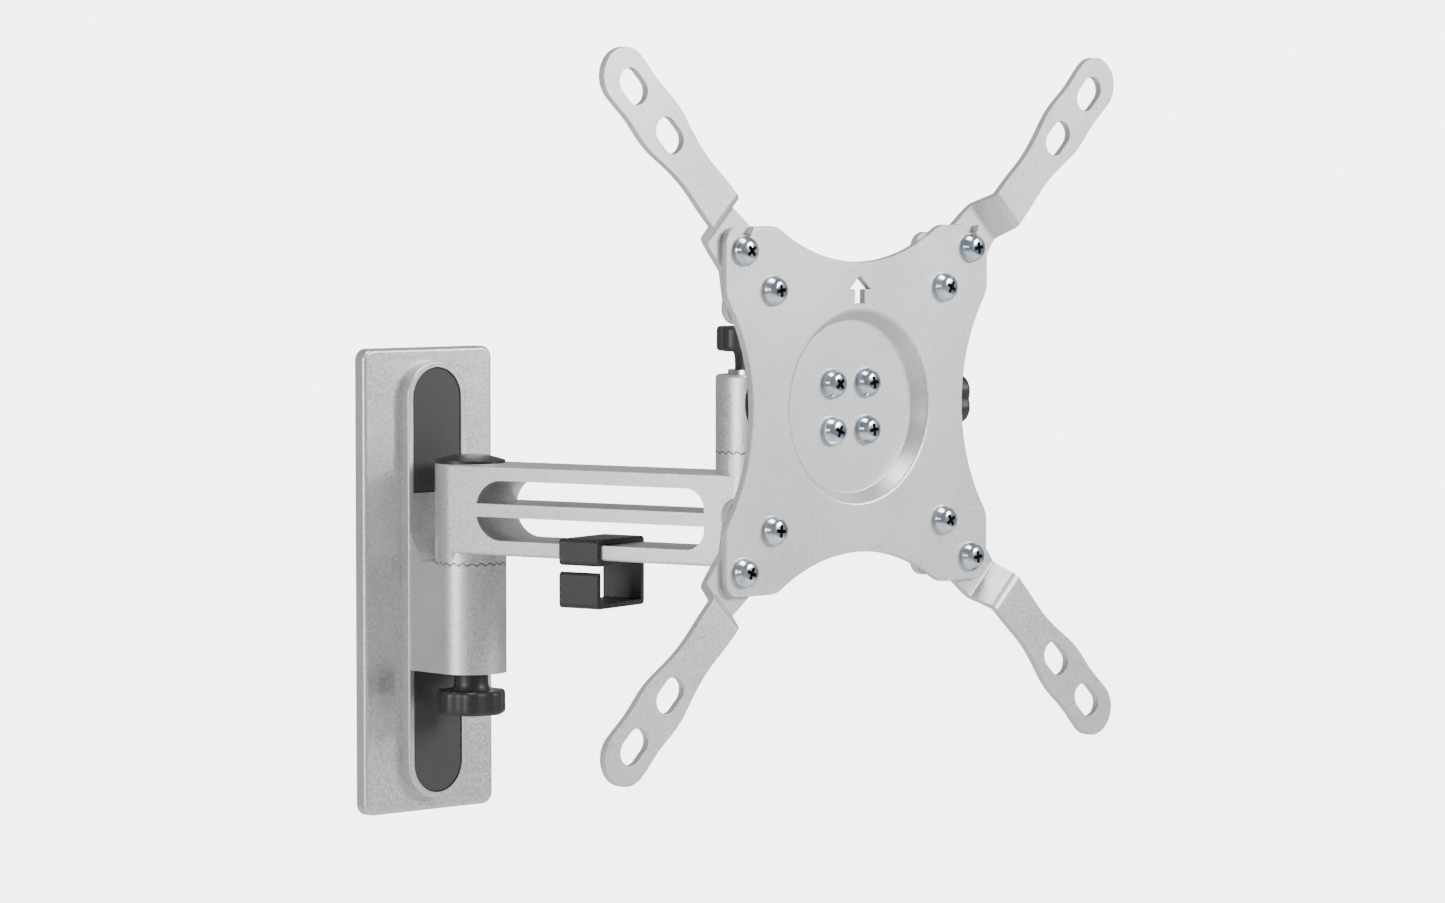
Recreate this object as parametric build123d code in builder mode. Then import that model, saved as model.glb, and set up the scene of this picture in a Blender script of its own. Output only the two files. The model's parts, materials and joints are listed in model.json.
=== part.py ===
"""Full motion TV wall mount: a short wall bracket, one slotted swing arm, a swivel and tilt head,
a VESA plate and four bolt-on adapters that carry the pattern out to 200 x 200.

Millimetres. X runs to the right as seen from the room, Y into the wall, Z up.
The origin is the middle of the wall bracket's back face, on the wall.
"""
import os
from math import atan, cos, degrees, pi, radians, sin, tan

from build123d import *

# wall bracket
PLATE_W, PLATE_H, PLATE_T = 56.0, 158.0, 5.0     # casting against the wall
PLATE_R = 4.0                                    # plate corner radius
RIM_W, RIM_H, RIM_WALL, RIM_OUT = 25.0, 149.0, 2.0, 4.4
BOSS_TOP, BOSS_BOTTOM = 30.0, -30.5              # solid middle of the rim, between the covers
COVER_GAP, COVER_T, COVER_SKIRT = 0.1, 4.0, 1.4  # cover to rim, cover depth, cover wall
WALL_HOLE_R = 2.75                               # 5 mm wall screws
WALL_HOLES_Z = (42.0, 62.0)                      # above and below the middle

# joints of the arm
BARREL_R = 12.0
WALL_AXIS_Y = -27.0                              # vertical pivot, in front of the wall
ARM_LENGTH = 112.0                               # pivot to pivot
ARM_ANGLE = 15.0                                 # drawn turned this far to the right
WALL_SEAM_Z, HEAD_SEAM_Z = 7.4, 48.2             # toothed seams of the two vertical pivots
WALL_BARREL_BOTTOM = -30.0
TEETH, TOOTH_DEPTH, SEAM_GAP = 24, 0.9, 1.05     # ring of face teeth, drawn just disengaged
HALF_TOOTH = 180.0 / TEETH                       # upper rings face the gaps of the lower ones
HUB_R, HUB_H = 7.5, 6.0                          # spigot that centres each pivot
RUN_GAP = 0.05                                   # radial gap of every turning fit
STUD_R = 4.0                                     # 8 mm clamping studs
NUT_AF, NUT_H = 13.0, 6.5                        # 8 mm hexagon nut

# swing arm
ARM_BOTTOM, ARM_TOP = 10.8, 40.8
FLANGE, RIB = 5.0, 4.4                           # top and bottom flanges, middle rib
WINDOW_START, WINDOW_END = 10.6, 101.0
WINDOW_R_WALL, WINDOW_R_HEAD = 9.9, 7.0
CAP_R, CAP_RIM, CAP_DOME = 11.75, 0.9, 2.1

# cable clip on the lower flange
CLIP_A0, CLIP_A1, CLIP_WALL = 45.4, 60.9, 1.8
CLIP_GAP = 0.1
HOOK_BOTTOM, HOOK_LIP = -5.2, 13.2

# head
HEAD_TOP = 73.0
TILT_BACK = 23.0                                 # tilt axis ahead of the head pivot
TILT_Z = 64.0
KNUCKLE_HALF, NECK_HALF = 12.0, 7.5
TILT_GAP, TILT_BARREL_END = 0.4, 51.0            # second tilt barrel, from the head pivot
PAD_T, PAD_HALF = 4.6, 14.0

# VESA plate and adapters
VESA_OUT = 50.0                                  # plate front ahead of the head pivot
VESA_T, VESA_SIDE, VESA_CORNER = 2.5, 115.0, 5.0
WAIST_R, WAIST_AT, WAIST_BLEND = 62.0, 108.0, 8.0
DISH_R0, DISH_R1, DISH_DEPTH = 30.5, 27.5, 4.7
HOLE_OUTER, HOLE_INNER = 50.0, 37.5              # half of 100 x 100 and of 75 x 75
M5_HOLE, M5_FIT, M5_R = 2.65, 2.55, 2.5
CENTRE_PITCH = 15.0
ADAPTER_T, ADAPTER_RISE = 2.5, 7.5
JOG_START, JOG_END = 11.3, 16.3                  # bend of the adapter, from its outer screw
SLOT_LENGTH, SLOT_R = 12.4, 4.2                  # for 8 mm screen bolts
SLOT_NEAR, SLOT_FAR = 50.0, 70.71                # slot centres, from the outer screw
SCREW_HEAD_R, SCREW_HEAD_H = 4.75, 3.7
SCREW_ANGLES = (12.0, 55.0, 28.0, 70.0, 40.0, 5.0, 63.0, 33.0)

# clamping knobs
KNOB_R, KNOB_T, LOBES = 11.7, 8.0, 7
STEM_R, STEM_L, WASHER_R, WASHER_T = 5.75, 6.0, 8.0, 1.5

ARM_U = Vector(sin(radians(ARM_ANGLE)), -cos(radians(ARM_ANGLE)), 0)
HEAD_X = ARM_LENGTH * ARM_U.X
HEAD_Y = WALL_AXIS_Y + ARM_LENGTH * ARM_U.Y
TILT_Y = HEAD_Y - TILT_BACK
VESA_Y = HEAD_Y - VESA_OUT
RIM_Y = -PLATE_T - RIM_OUT


def facing(y, x=0.0, z=0.0):
    """Plane square to Y at y: local x is X, local y is Z, and it faces the room."""
    return Plane(origin=(x, y, z), x_dir=(1, 0, 0), z_dir=(0, -1, 0))


def level(z, x=0.0, y=0.0):
    """Level plane facing up."""
    return Plane(origin=(x, y, z), x_dir=(1, 0, 0), z_dir=(0, 0, 1))


def sideways(x, y=0.0, z=0.0):
    """Plane square to X facing +X: local x is Y, local y is Z."""
    return Plane(origin=(x, y, z), x_dir=(0, 1, 0), z_dir=(1, 0, 0))


def along_arm(a=0.0, offset=0.0):
    """Upright plane along the arm: local x runs out along it, local y is Z."""
    x = a * ARM_U.X
    y = WALL_AXIS_Y + a * ARM_U.Y
    side = Vector(ARM_U.Y, -ARM_U.X, 0)
    return Plane(origin=(x + offset * side.X, y + offset * side.Y, 0),
                 x_dir=(ARM_U.X, ARM_U.Y, 0), z_dir=(side.X, side.Y, 0))


def tooth_planes(x, y, z, turn=0.0):
    """One upright plane per tooth gap, facing out from a vertical pivot."""
    planes = []
    for i in range(TEETH):
        t = radians(360.0 * i / TEETH + turn)
        planes.append(Plane(origin=(x + (HUB_R - 1) * cos(t), y + (HUB_R - 1) * sin(t), z),
                            x_dir=(-sin(t), cos(t), 0), z_dir=(cos(t), sin(t), 0)))
    return planes


def tooth_gap(up):
    """V outline of one tooth gap; up says which way the seam face looks."""
    half = pi * BARREL_R / TEETH - 0.12
    depth = -TOOTH_DEPTH if up else TOOTH_DEPTH
    return ((-half, 0), (-half * 1.2, -0.33 * depth), (half * 1.2, -0.33 * depth), (half, 0),
            (0, depth))


def finish(solid, label):
    solid.label = label
    export_step(solid, f"parts/{label}.step")


os.makedirs("parts", exist_ok=True)
lower_crown = WALL_SEAM_Z - SEAM_GAP / 2 + TOOTH_DEPTH / 2
upper_crown = lower_crown + SEAM_GAP - TOOTH_DEPTH
head_lower_crown = HEAD_SEAM_Z - SEAM_GAP / 2 + TOOTH_DEPTH / 2
head_upper_crown = head_lower_crown + SEAM_GAP - TOOTH_DEPTH

# %% wall bracket: plate, raised rim, solid middle and the lower half of the wall pivot
with BuildPart() as wall_bracket:
    with BuildSketch(facing(0)):
        RectangleRounded(PLATE_W, PLATE_H, PLATE_R)
    extrude(amount=PLATE_T)
    fillet(wall_bracket.faces().sort_by(Axis.Y)[0].edges(), 1.4)
    with BuildSketch(facing(-PLATE_T)):
        SlotOverall(RIM_H, RIM_W, rotation=90)
    extrude(amount=RIM_OUT)
    fillet(wall_bracket.faces().sort_by(Axis.Y)[0].edges(), 0.6)
    for low, high in ((BOSS_TOP, RIM_H / 2), (-RIM_H / 2, BOSS_BOTTOM)):
        with BuildSketch(facing(RIM_Y)):
            SlotOverall(RIM_H - 2 * RIM_WALL, RIM_W - 2 * RIM_WALL, rotation=90)
            with Locations((0, (low + high) / 2)):
                Rectangle(RIM_W, high - low, mode=Mode.INTERSECT)
        extrude(amount=-RIM_OUT, mode=Mode.SUBTRACT)
    with BuildSketch(level(WALL_BARREL_BOTTOM)):
        with Locations((0, (RIM_Y + WALL_AXIS_Y) / 2)):
            Rectangle(2 * BARREL_R, RIM_Y - WALL_AXIS_Y)
        with Locations((0, WALL_AXIS_Y)):
            Circle(BARREL_R)
    extrude(amount=lower_crown - WALL_BARREL_BOTTOM)
    with BuildSketch(sideways(-BARREL_R)):
        Polygon((RIM_Y + 0.5, lower_crown), (RIM_Y - 5.2, lower_crown), (RIM_Y - 5.2, 8.2),
                (RIM_Y, 16.6), (RIM_Y + 0.5, 16.6), align=None)
    extrude(amount=2 * BARREL_R)
    with BuildSketch(level(lower_crown, 0, WALL_AXIS_Y)):
        Circle(BARREL_R + 0.8)
    extrude(amount=20, mode=Mode.SUBTRACT)
    with BuildSketch(*tooth_planes(0, WALL_AXIS_Y, lower_crown)):
        Polygon(*tooth_gap(up=True), align=None)
    extrude(amount=BARREL_R - HUB_R + 2, mode=Mode.SUBTRACT)
    with BuildSketch(level(lower_crown - TOOTH_DEPTH - 0.5, 0, WALL_AXIS_Y)):
        Circle(HUB_R)
    extrude(amount=HUB_H + TOOTH_DEPTH + 0.5)
    with BuildSketch(level(WALL_BARREL_BOTTOM, 0, WALL_AXIS_Y)):
        Circle(STUD_R + RUN_GAP)
    extrude(amount=60, mode=Mode.SUBTRACT)
    with BuildSketch(*[facing(0, 0, s * z) for s in (1, -1) for z in WALL_HOLES_Z]):
        Circle(WALL_HOLE_R)
    extrude(amount=PLATE_T, mode=Mode.SUBTRACT)
    with BuildSketch(*[facing(-PLATE_T, 0, s * z) for s in (1, -1) for z in WALL_HOLES_Z]):
        Circle(WALL_HOLE_R + 2.6)
    extrude(amount=-2.6, taper=45, mode=Mode.SUBTRACT)
finish(wall_bracket.part, "wall_bracket")


def cover(label, low, high):
    """Hollow plastic lid that hides two wall screws, pressed into the rim."""
    inner_w = RIM_W - 2 * RIM_WALL - 2 * COVER_GAP
    with BuildPart() as lid:
        for depth, shrink, mode in ((COVER_T, 0, Mode.ADD),
                                    (COVER_T - COVER_SKIRT, COVER_SKIRT, Mode.SUBTRACT)):
            with BuildSketch(facing(-PLATE_T)):
                SlotOverall(RIM_H - 2 * RIM_WALL - 2 * COVER_GAP - 2 * shrink,
                            inner_w - 2 * shrink, rotation=90)
                with Locations((0, (low + high) / 2)):
                    Rectangle(RIM_W, high - low - 2 * COVER_GAP - 2 * shrink,
                              mode=Mode.INTERSECT)
            extrude(amount=depth, mode=mode)
        chamfer(lid.faces().sort_by(Axis.Y)[0].edges(), 0.4)
    finish(lid.part, label)


cover("upper_cover", BOSS_TOP, RIM_H)
cover("lower_cover", -RIM_H, BOSS_BOTTOM)

# %% swing arm: two flanges and a rib between a stub barrel and a tall barrel
with BuildPart() as arm_ends:
    with BuildSketch(level(upper_crown, 0, WALL_AXIS_Y)):
        Circle(BARREL_R)
    extrude(amount=ARM_BOTTOM + 1 - upper_crown)
    with BuildSketch(*tooth_planes(0, WALL_AXIS_Y, upper_crown, HALF_TOOTH)):
        Polygon(*tooth_gap(up=False), align=None)
    extrude(amount=BARREL_R - HUB_R + 2, mode=Mode.SUBTRACT)

with BuildPart() as arm_head_end:
    with BuildSketch(level(ARM_BOTTOM, HEAD_X, HEAD_Y)):
        Circle(BARREL_R)
    extrude(amount=head_lower_crown - ARM_BOTTOM)
    with BuildSketch(*tooth_planes(HEAD_X, HEAD_Y, head_lower_crown)):
        Polygon(*tooth_gap(up=True), align=None)
    extrude(amount=BARREL_R - HUB_R + 2, mode=Mode.SUBTRACT)

with BuildPart() as swing_arm:
    with BuildSketch(level(ARM_BOTTOM)):
        with Locations(Location((HEAD_X / 2, (WALL_AXIS_Y + HEAD_Y) / 2, 0),
                                (0, 0, ARM_ANGLE - 90))):
            SlotCenterToCenter(ARM_LENGTH, 2 * BARREL_R)
    extrude(amount=ARM_TOP - ARM_BOTTOM)
    with BuildSketch(along_arm()) as window:
        with Locations(((WINDOW_START + WINDOW_END) / 2, (ARM_BOTTOM + ARM_TOP) / 2)):
            Rectangle(WINDOW_END - WINDOW_START, ARM_TOP - ARM_BOTTOM - 2 * FLANGE)
        fillet(window.vertices().group_by(Axis.X)[0], WINDOW_R_WALL)
        fillet(window.vertices().group_by(Axis.X)[-1], WINDOW_R_HEAD)
        with Locations(((WINDOW_START + WINDOW_END) / 2, (ARM_BOTTOM + ARM_TOP) / 2)):
            Rectangle(WINDOW_END, RIB, mode=Mode.SUBTRACT)
    extrude(amount=BARREL_R + 1, both=True, mode=Mode.SUBTRACT)
    fillet(swing_arm.edges().filter_by_position(Axis.Z, ARM_BOTTOM - 0.1, ARM_BOTTOM + 0.1), 0.8)
    fillet(swing_arm.edges().filter_by_position(Axis.Z, ARM_TOP - 0.1, ARM_TOP + 0.1), 0.8)
    add(arm_ends.part)
    add(arm_head_end.part)
    with BuildSketch(level(head_lower_crown - TOOTH_DEPTH - 0.5, HEAD_X, HEAD_Y)):
        Circle(HUB_R)
    extrude(amount=HUB_H + TOOTH_DEPTH + 0.5)
    with BuildSketch(level(upper_crown - 1, 0, WALL_AXIS_Y)):
        Circle(HUB_R + RUN_GAP)
    extrude(amount=lower_crown + HUB_H + 0.5 - upper_crown + 1, mode=Mode.SUBTRACT)
    for x, y in ((0, WALL_AXIS_Y), (HEAD_X, HEAD_Y)):
        with BuildSketch(level(0, x, y)):
            Circle(STUD_R + RUN_GAP)
        extrude(amount=70, mode=Mode.SUBTRACT)
    with BuildSketch(level(ARM_TOP - NUT_H - 1, 0, WALL_AXIS_Y),
                     level(ARM_BOTTOM - 1, HEAD_X, HEAD_Y)):
        RegularPolygon(NUT_AF / 2 + RUN_GAP, 6, major_radius=False)
    extrude(amount=NUT_H + 2.5, mode=Mode.SUBTRACT)
finish(swing_arm.part, "swing_arm")

with BuildPart() as wall_pivot_cap:
    with BuildSketch(level(ARM_TOP, 0, WALL_AXIS_Y)):
        Circle(CAP_R)
    extrude(amount=CAP_RIM + CAP_DOME)
    dome_r = (CAP_R ** 2 + CAP_DOME ** 2) / (2 * CAP_DOME)
    with Locations((0, WALL_AXIS_Y, ARM_TOP + CAP_RIM + CAP_DOME - dome_r)):
        Sphere(dome_r, mode=Mode.INTERSECT)
finish(wall_pivot_cap.part, "wall_pivot_cap")


def hex_nut(label, plane):
    with BuildPart() as nut:
        with BuildSketch(plane):
            RegularPolygon(NUT_AF / 2, 6, major_radius=False)
            Circle(STUD_R + RUN_GAP, mode=Mode.SUBTRACT)
        extrude(amount=NUT_H)
    finish(nut.part, label)


hex_nut("wall_pivot_nut", level(ARM_TOP - NUT_H - 0.8, 0, WALL_AXIS_Y))
hex_nut("head_pivot_nut", level(ARM_BOTTOM + 0.8, HEAD_X, HEAD_Y))

# %% cable clip: a closed loop round the lower flange with an open hook hanging from it
loop_in = BARREL_R + CLIP_GAP
loop_top = ARM_BOTTOM + FLANGE + CLIP_GAP
loop_bottom = ARM_BOTTOM - CLIP_GAP
back, front = -loop_in - CLIP_WALL, loop_in + CLIP_WALL
clip_plane = Plane(origin=(CLIP_A0 * ARM_U.X, WALL_AXIS_Y + CLIP_A0 * ARM_U.Y, 0),
                   x_dir=(ARM_U.Y, -ARM_U.X, 0), z_dir=(-ARM_U.X, -ARM_U.Y, 0))
with BuildPart() as cable_clip:
    # local x points to the open side of the hook and local y points up
    with BuildSketch(clip_plane):
        with Locations((0, (loop_top + loop_bottom) / 2)):
            Rectangle(2 * front, loop_top - loop_bottom + 2 * CLIP_WALL)
            Rectangle(2 * loop_in, loop_top - loop_bottom, mode=Mode.SUBTRACT)
        with Locations((back + CLIP_WALL / 2, (loop_bottom + HOOK_BOTTOM) / 2)):
            Rectangle(CLIP_WALL, loop_bottom - HOOK_BOTTOM)
        with Locations((0, HOOK_BOTTOM + CLIP_WALL / 2)):
            Rectangle(2 * front, CLIP_WALL)
        with Locations((front - CLIP_WALL / 2, HOOK_BOTTOM + HOOK_LIP / 2 - 0.6)):
            Rectangle(CLIP_WALL, HOOK_LIP - 1.2)
    extrude(amount=CLIP_A0 - CLIP_A1)
    fillet(cable_clip.edges().filter_by(lambda e: abs(e.tangent_at(0.5).Z) < 0.01
                                        and abs(e.tangent_at(0.5).cross(
                                            Vector(ARM_U.X, ARM_U.Y, 0)).length) < 0.01
                                        and abs(abs((e.center() - Vector(0, WALL_AXIS_Y, 0)).dot(
                                            Vector(ARM_U.Y, -ARM_U.X, 0))) - front) < 0.01), 1.5)
finish(cable_clip.part, "cable_clip")

# %% head: upright barrel, short neck and the inner half of the tilt pivot
with BuildPart() as head_knuckle:
    with BuildSketch(level(head_upper_crown, HEAD_X, HEAD_Y)):
        Circle(BARREL_R)
    extrude(amount=HEAD_TOP - head_upper_crown)
    chamfer(head_knuckle.faces().sort_by(Axis.Z)[-1].edges(), 0.8)
    with BuildSketch(sideways(HEAD_X - KNUCKLE_HALF, TILT_Y, TILT_Z)):
        Circle(BARREL_R)
    extrude(amount=2 * KNUCKLE_HALF)
    with BuildSketch(sideways(HEAD_X - NECK_HALF, TILT_Y, TILT_Z)):
        with Locations((TILT_BACK / 2, -1.0)):
            Rectangle(TILT_BACK, 2 * BARREL_R - 8)
    extrude(amount=2 * NECK_HALF)
    with BuildSketch(*tooth_planes(HEAD_X, HEAD_Y, head_upper_crown, HALF_TOOTH)):
        Polygon(*tooth_gap(up=False), align=None)
    extrude(amount=BARREL_R - HUB_R + 2, mode=Mode.SUBTRACT)
    with BuildSketch(level(head_upper_crown - 1, HEAD_X, HEAD_Y)):
        Circle(HUB_R + RUN_GAP)
    extrude(amount=head_lower_crown + HUB_H + 0.5 - head_upper_crown + 1, mode=Mode.SUBTRACT)
    with BuildSketch(level(head_upper_crown, HEAD_X, HEAD_Y)):
        Circle(STUD_R + RUN_GAP)
    extrude(amount=40, mode=Mode.SUBTRACT)
    with BuildSketch(sideways(HEAD_X + KNUCKLE_HALF - 0.5, TILT_Y, TILT_Z)):
        Circle(HUB_R)
    extrude(amount=4.5)
    with BuildSketch(sideways(HEAD_X - KNUCKLE_HALF, TILT_Y, TILT_Z)):
        Circle(STUD_R + RUN_GAP)
    extrude(amount=40, mode=Mode.SUBTRACT)
    with BuildSketch(sideways(HEAD_X - KNUCKLE_HALF, TILT_Y, TILT_Z)):
        RegularPolygon(NUT_AF / 2 + RUN_GAP, 6, major_radius=False)
    extrude(amount=NUT_H + 1.5, mode=Mode.SUBTRACT)
finish(head_knuckle.part, "head_knuckle")

hex_nut("tilt_nut", sideways(HEAD_X - KNUCKLE_HALF + 1.3, TILT_Y, TILT_Z))

with BuildPart() as tilt_cap:
    with BuildSketch(sideways(HEAD_X - KNUCKLE_HALF, TILT_Y, TILT_Z)):
        Circle(CAP_R)
    extrude(amount=-2.2)
    fillet(tilt_cap.faces().sort_by(Axis.X)[0].edges(), 0.8)
finish(tilt_cap.part, "tilt_cap")

# %% tilt bracket: the outer half of the tilt pivot, with a pad that bolts behind the dish
pad_back = VESA_Y + DISH_DEPTH + VESA_T
with BuildPart() as tilt_bracket:
    with BuildSketch(sideways(HEAD_X + KNUCKLE_HALF + TILT_GAP, TILT_Y, TILT_Z)):
        Circle(BARREL_R)
        with Locations(((pad_back - TILT_Y) / 2, 0)):
            Rectangle(TILT_Y - pad_back, 18)
    extrude(amount=TILT_BARREL_END - KNUCKLE_HALF - TILT_GAP)
    with BuildSketch(facing(pad_back, HEAD_X, TILT_Z)):
        with Locations(((TILT_BARREL_END - PAD_HALF) / 2, 0)):
            RectangleRounded(TILT_BARREL_END + PAD_HALF, 2 * PAD_HALF, 3)
    extrude(amount=-PAD_T)
    with BuildSketch(facing(pad_back, HEAD_X, TILT_Z)):
        Circle(DISH_R0 + 1.9)
    extrude(amount=DISH_DEPTH + 2, mode=Mode.SUBTRACT)
    with BuildSketch(sideways(HEAD_X + KNUCKLE_HALF + TILT_GAP, TILT_Y, TILT_Z)):
        Circle(HUB_R + RUN_GAP)
    extrude(amount=5, mode=Mode.SUBTRACT)
    with BuildSketch(sideways(HEAD_X + KNUCKLE_HALF, TILT_Y, TILT_Z)):
        Circle(STUD_R + RUN_GAP)
    extrude(amount=60, mode=Mode.SUBTRACT)
    with BuildSketch(facing(pad_back, HEAD_X, TILT_Z)):
        with GridLocations(CENTRE_PITCH, CENTRE_PITCH, 2, 2):
            Circle(M5_FIT)
    extrude(amount=-PAD_T, mode=Mode.SUBTRACT)
finish(tilt_bracket.part, "tilt_bracket")

# %% VESA plate: square sheet with four hollow sides, a pressed dish and an arrow for up
with BuildPart() as vesa_plate:
    with BuildSketch(facing(VESA_Y, HEAD_X, TILT_Z)) as outline:
        RectangleRounded(VESA_SIDE, VESA_SIDE, VESA_CORNER)
        with PolarLocations(WAIST_AT, 4):
            Circle(WAIST_R, mode=Mode.SUBTRACT)
        fillet([v for v in outline.vertices() if 30 < min(abs(v.X), abs(v.Y)) < 40], WAIST_BLEND)
    extrude(amount=-VESA_T)
    dish_taper = degrees(atan((DISH_R0 - DISH_R1) / DISH_DEPTH))
    with BuildSketch(facing(VESA_Y + VESA_T, HEAD_X, TILT_Z)):
        Circle(DISH_R0 + 1.7)
    extrude(amount=-DISH_DEPTH, taper=dish_taper)
    with BuildSketch(facing(VESA_Y, HEAD_X, TILT_Z)):
        Circle(DISH_R0)
    extrude(amount=-DISH_DEPTH, taper=dish_taper, mode=Mode.SUBTRACT)
    fillet(vesa_plate.edges().filter_by(GeomType.CIRCLE).filter_by(
        lambda e: abs(e.radius - DISH_R0) < 0.05), 1.4)
    with BuildSketch(facing(VESA_Y, HEAD_X, TILT_Z)):
        with GridLocations(2 * HOLE_OUTER, 2 * HOLE_OUTER, 2, 2):
            Circle(M5_HOLE)
        with GridLocations(2 * HOLE_INNER, 2 * HOLE_INNER, 2, 2):
            Circle(M5_HOLE)
        for side in (-1, 1):
            with Locations((side * HOLE_OUTER, HOLE_OUTER + 5)):
                Rectangle(2 * M5_HOLE, 10)
            Polygon((side * (HOLE_OUTER - 4.6), VESA_SIDE / 2 + 0.1),
                    (side * (HOLE_OUTER - M5_HOLE), VESA_SIDE / 2 - 2.4),
                    (side * (HOLE_OUTER + M5_HOLE), VESA_SIDE / 2 - 2.4),
                    (side * (HOLE_OUTER + 3.8), VESA_SIDE / 2 + 0.1), align=None)
        Polygon((0, 41.5), (-4.6, 37.3), (-2.1, 37.3), (-2.1, 32.8), (2.1, 32.8), (2.1, 37.3),
                (4.6, 37.3), align=None)
    extrude(amount=-VESA_T, mode=Mode.SUBTRACT)
    with BuildSketch(facing(VESA_Y + DISH_DEPTH, HEAD_X, TILT_Z)):
        with GridLocations(CENTRE_PITCH, CENTRE_PITCH, 2, 2):
            Circle(M5_HOLE)
    extrude(amount=-VESA_T, mode=Mode.SUBTRACT)
finish(vesa_plate.part, "vesa_plate")


def pan_screws(label, points, y, shank):
    """Cross-recessed pan head screws, heads standing out from the plane at y."""
    planes = []
    for i, (x, z) in enumerate(points):
        turn = radians(SCREW_ANGLES[i % len(SCREW_ANGLES)])
        planes.append(Plane(origin=(x, y, z), x_dir=(cos(turn), 0, sin(turn)),
                            z_dir=(0, -1, 0)))
    tops = [Plane(origin=p.origin + p.z_dir * SCREW_HEAD_H, x_dir=p.x_dir, z_dir=p.z_dir)
            for p in planes]
    with BuildPart() as screws:
        with BuildSketch(*planes):
            Circle(SCREW_HEAD_R)
        extrude(amount=SCREW_HEAD_H)
        fillet(screws.edges().filter_by_position(Axis.Y, y - SCREW_HEAD_H - 0.01,
                                                 y - SCREW_HEAD_H + 0.01), 1.7)
        with BuildSketch(*tops):
            Rectangle(4.6, 1.15)
            Rectangle(1.15, 4.6)
        extrude(amount=-2.2, taper=9, mode=Mode.SUBTRACT)
        with BuildSketch(*planes):
            Circle(M5_R)
        extrude(amount=-shank)
    finish(screws.part, label)


def corner(radius_x, sx, sz):
    return (HEAD_X + sx * radius_x, TILT_Z + sz * radius_x)


CORNERS = ((-1, 1), (1, 1), (-1, -1), (1, -1))
pan_screws("adapter_screws", [corner(r, sx, sz) for r in (HOLE_OUTER, HOLE_INNER)
                              for sx, sz in CORNERS], VESA_Y, 7.5)
pan_screws("centre_screws", [corner(CENTRE_PITCH / 2, sx, sz) for sx, sz in CORNERS],
           VESA_Y + DISH_DEPTH, 7.5)


def adapter(label, sx, sz):
    """Joggled sheet finger on a diagonal of the plate, screwed on by two screws."""
    angle = radians(sz * (45.0 if sx > 0 else 135.0))
    base = Plane(origin=(HEAD_X + sx * HOLE_OUTER, VESA_Y, TILT_Z + sz * HOLE_OUTER),
                 x_dir=(cos(angle), 0, sin(angle)), z_dir=(0, -1, 0))
    edge = Plane(origin=base.origin, x_dir=base.x_dir, z_dir=base.y_dir * -1)
    lean = ADAPTER_T * tan(atan(ADAPTER_RISE / (JOG_END - JOG_START)) / 2)
    rear = -VESA_T
    with BuildPart() as finger:
        with BuildSketch(edge) as side:
            Polygon((-40, rear), (JOG_START, rear), (JOG_END, rear + ADAPTER_RISE),
                    (100, rear + ADAPTER_RISE), (100, rear + ADAPTER_RISE - ADAPTER_T),
                    (JOG_END + lean, rear + ADAPTER_RISE - ADAPTER_T),
                    (JOG_START + lean, rear - ADAPTER_T), (-40, rear - ADAPTER_T), align=None)
            for x, y, bend in ((JOG_START, rear, 1.0), (JOG_START + lean, rear - ADAPTER_T, 3.4),
                               (JOG_END + lean, rear + ADAPTER_RISE - ADAPTER_T, 1.0),
                               (JOG_END, rear + ADAPTER_RISE, 3.4)):
                fillet(side.vertices().sort_by_distance((x, y, 0))[0], bend)
        extrude(amount=30, both=True)
        with BuildSketch(Plane(origin=base.origin + base.z_dir * -20, x_dir=base.x_dir,
                               z_dir=base.z_dir)):
            with BuildLine():
                Spline((6, 8.4), (13, 7.4), (24, 7.0), (34, 6.5), (45, 7.7), (54, 9.1),
                       (65, 8.5), (75, 8.9), tangents=[(1, -0.1), (1, 0)])
                ThreePointArc((75, 8.9), (83.9, 0), (75, -8.9))
                Spline((75, -8.9), (65, -8.5), (54, -9.1), (45, -7.7), (34, -6.5), (24, -7.0),
                       (13, -7.4), (6, -8.4), tangents=[(-1, 0), (-1, -0.1)])
                Line((6, -8.4), (6, 8.4))
            make_face()
            Polygon((6, 8.4), (0, 9), (-11.5, 17.2), (-17, 13.8), (-22.4, 0), (-17, -13.8),
                    (-11.5, -17.2), (0, -9), (6, -8.4), align=None)
            with Locations((-17.68, 0), (-12.5, 12.5), (-12.5, -12.5)):
                Circle(5.2)
            with Locations((0, 0), (-17.68, 0), (-12.5, 12.5), (-12.5, -12.5)):
                Circle(M5_FIT, mode=Mode.SUBTRACT)
            with Locations((SLOT_NEAR, 0), (SLOT_FAR, 0)):
                SlotOverall(SLOT_LENGTH, 2 * SLOT_R, mode=Mode.SUBTRACT)
        extrude(amount=40, mode=Mode.INTERSECT)
    finish(finger.part, label)


for name, (sx, sz) in zip(("adapter_upper_left", "adapter_upper_right", "adapter_lower_left",
                           "adapter_lower_right"), CORNERS):
    adapter(name, sx, sz)


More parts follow.
